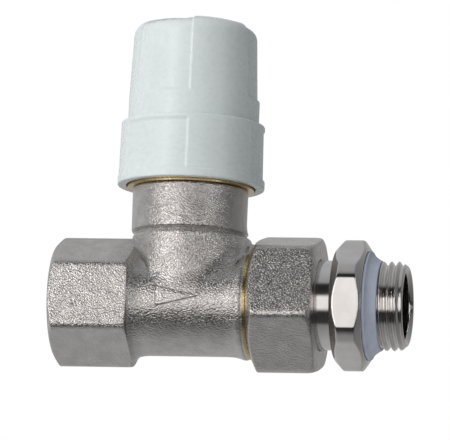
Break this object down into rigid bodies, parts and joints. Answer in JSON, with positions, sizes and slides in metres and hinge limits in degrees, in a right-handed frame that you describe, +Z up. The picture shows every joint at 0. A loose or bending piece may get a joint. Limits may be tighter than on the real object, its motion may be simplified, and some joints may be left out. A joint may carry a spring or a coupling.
{
  "type": "straight thermostatic radiator valve",
  "caption": "Straight radiator valve with hexagonal female inlet, manual cap on the neck, union nut and a tailpiece with hexagonal collar, seal ring and male thread.",
  "frame": {"origin": "centre of the inlet's mouth, on the run's axis", "axes": "+X along the run from the inlet to the tail, +Z up the neck towards the cap"},
  "size_m": [0.0833, 0.0346, 0.0848],
  "materials": {
    "nickel_blasted": "nickel plated over a blasted forging, fine grain",
    "nickel_polished": "nickel plated, turned and bright",
    "bare_brass": "turned bare brass",
    "steel": "plain turned or spring steel",
    "rubber": "matt black rubber",
    "white_cap": "satin moulded plastic, cool white",
    "seal": "soft bluish white seal"
  },
  "bodies": {
    "valve": {"valve_body": "nickel_blasted", "bonnet": "bare_brass", "bonnet_o_ring": "rubber", "gland_nut": "bare_brass", "gland_washer": "steel", "gland_o_ring": "rubber", "return_spring": "steel"},
    "spindle": {"spindle": "steel", "spindle_clip": "steel", "plunger": "bare_brass", "seat_disc": "rubber", "disc_washer": "steel", "disc_nut": "steel"},
    "handwheel": {"handwheel": "white_cap", "pressure_pad": "bare_brass"},
    "tail": {"tailpiece": "nickel_polished", "union_snap_ring": "steel", "tail_o_ring": "rubber", "thread_seal": "seal"},
    "union_nut": {"union_nut": "nickel_blasted"}
  },
  "joints": [
    {"name": "spindle_lift", "type": "slide", "parent": "valve", "child": "spindle", "axis": [0, 0, 1], "range_m": [-0.003, 0], "deforming": ["return_spring"]},
    {"name": "handwheel_turn", "type": "hinge", "parent": "spindle", "child": "handwheel", "pos_m": [0.0307, 0, 0.04], "axis": [0, 0, 1], "range_deg": [-720, 0]},
    {"name": "tail_slide", "type": "slide", "parent": "valve", "child": "tail", "axis": [1, 0, 0], "range_m": [0, 0.0109]},
    {"name": "nut_turn", "type": "hinge", "parent": "tail", "child": "union_nut", "pos_m": [0.055, 0, 0], "axis": [1, 0, 0], "range_deg": [0, 2160]}
  ],
  "couplings": [
    {"joint": "spindle_lift", "follows": "handwheel_turn", "m_per_rad": 0.00023873},
    {"joint": "tail_slide", "follows": "nut_turn", "m_per_rad": 0.00028871}
  ]
}
